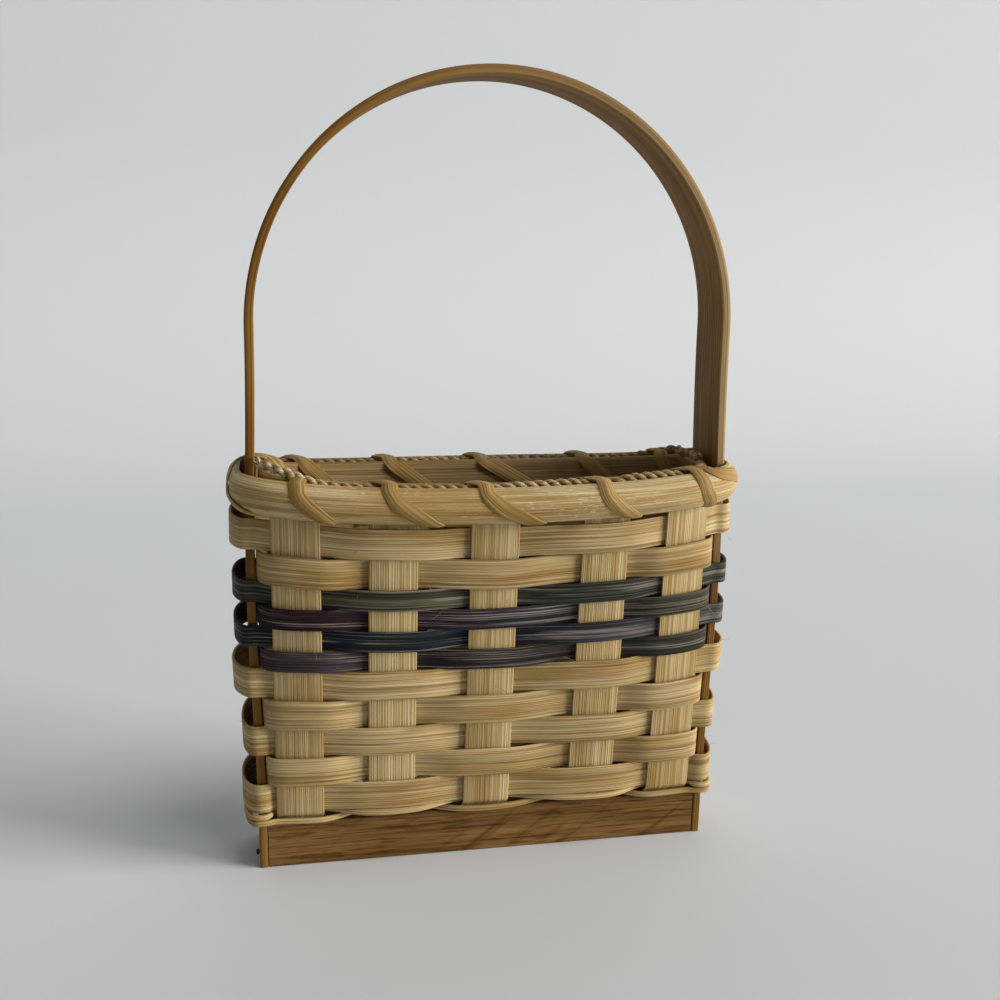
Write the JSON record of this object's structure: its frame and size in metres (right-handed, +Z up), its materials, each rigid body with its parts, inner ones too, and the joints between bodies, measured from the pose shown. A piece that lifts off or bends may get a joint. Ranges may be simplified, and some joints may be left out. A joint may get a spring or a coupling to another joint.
{
  "type": "wall pocket basket",
  "caption": "Narrow woven basket with a flat wooden base, flat reed sides with a dark dyed band, a lashed rim and a tall bent-wood handle to carry it or hang it on a wall.",
  "frame": {"origin": "middle of the base board's underside, on the surface that the basket stands on", "axes": "+Z up, +X to the right along the base board, +Y towards the wall that the basket's back faces"},
  "size_m": [0.2042, 0.0777, 0.3085],
  "materials": {
    "oak_board": "stained oak, satin",
    "bent_oak": "stained bent oak, satin",
    "dark_iron": "dark oxidised iron",
    "stake_reed": "flat reed, matt",
    "natural_reed": "natural reed, matt",
    "olive_reed": "dyed flat reed, matt",
    "plum_reed": "dyed flat reed, matt",
    "navy_reed": "dyed flat reed, matt",
    "charcoal_reed": "dyed flat reed, matt",
    "rim_reed": "half-round reed, satin",
    "lashing_reed": "thin flat reed, satin",
    "seagrass": "twisted seagrass, matt"
  },
  "bodies": {
    "root": {"base_board": "oak_board", "handle": "bent_oak", "left_brad": "dark_iron", "right_brad": "dark_iron", "front_stake_1": "stake_reed", "front_stake_2": "stake_reed", "front_stake_3": "stake_reed", "front_stake_4": "stake_reed", "front_stake_5": "stake_reed", "back_stake_1": "stake_reed", "back_stake_2": "stake_reed", "back_stake_3": "stake_reed", "back_stake_4": "stake_reed", "back_stake_5": "stake_reed", "twining_lower_strand": "natural_reed", "twining_upper_strand": "natural_reed", "weaver_row_11": "natural_reed", "weaver_row_10": "natural_reed", "weaver_row_09": "natural_reed", "weaver_row_08": "natural_reed", "weaver_row_07": "natural_reed", "weaver_row_06": "charcoal_reed", "weaver_row_05": "navy_reed", "weaver_row_04": "plum_reed", "weaver_row_03": "olive_reed", "weaver_row_02": "natural_reed", "weaver_row_01": "natural_reed", "rim_row": "natural_reed", "outer_rim": "rim_reed", "inner_rim": "rim_reed", "front_seagrass": "seagrass", "back_seagrass": "seagrass", "lashing": "lashing_reed"}
  },
  "joints": []
}
